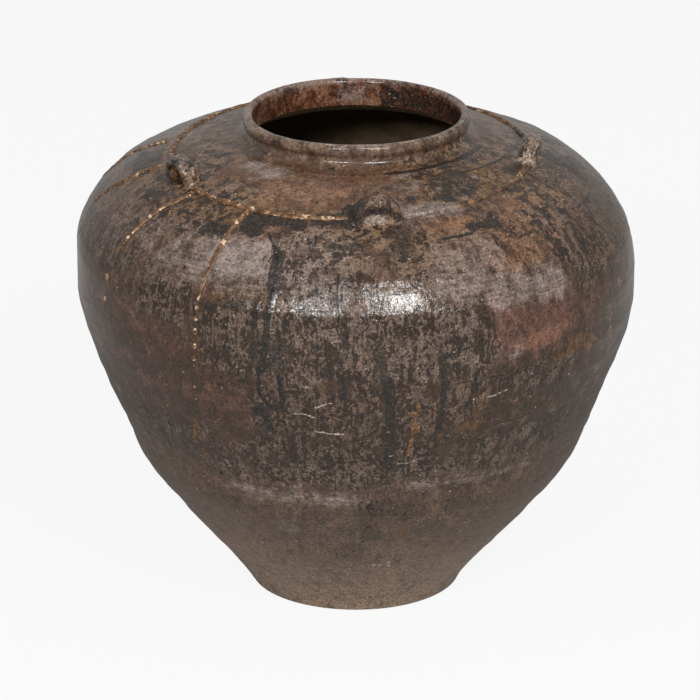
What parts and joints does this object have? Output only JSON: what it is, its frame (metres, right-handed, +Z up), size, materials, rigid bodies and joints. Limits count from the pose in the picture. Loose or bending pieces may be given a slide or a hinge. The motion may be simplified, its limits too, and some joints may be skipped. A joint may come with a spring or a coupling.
{
  "type": "martaban storage jar",
  "caption": "Large squat stoneware storage jar with a broad domed shoulder, narrow foot, short rolled neck, small strap lugs and a raised coil with hanging ribs.",
  "frame": {"origin": "centre of the foot's underside, on the surface that the jar stands on", "axes": "+Z up along the jar's axis, -Y towards the pictured front, +X to the front view's right"},
  "size_m": [0.5198, 0.52, 0.46],
  "materials": {
    "brown_glaze": "mottled dark brown glaze with black runs, semi-gloss, scratched and pitted",
    "worn_glaze": "thin grey-brown glaze, matte, with brush marks",
    "bare_clay": "unglazed grey-buff stoneware, rough",
    "slip_trim": "pale tan clay under a thin glaze, with small pearls"
  },
  "bodies": {
    "root": {"base_slab": "bare_clay", "lower_body": "worn_glaze", "upper_body": "brown_glaze", "neck": "brown_glaze", "lug_front": "brown_glaze", "lug_right": "brown_glaze", "lug_back": "brown_glaze", "lug_left": "brown_glaze", "cordon_front_right": "slip_trim", "cordon_back_right": "slip_trim", "cordon_back_left": "slip_trim", "cordon_front_left": "slip_trim", "rib_1": "slip_trim", "rib_2": "slip_trim", "rib_3": "slip_trim", "rib_4": "slip_trim", "shoulder_pearls": "slip_trim", "belly_pearls": "slip_trim"}
  },
  "joints": []
}
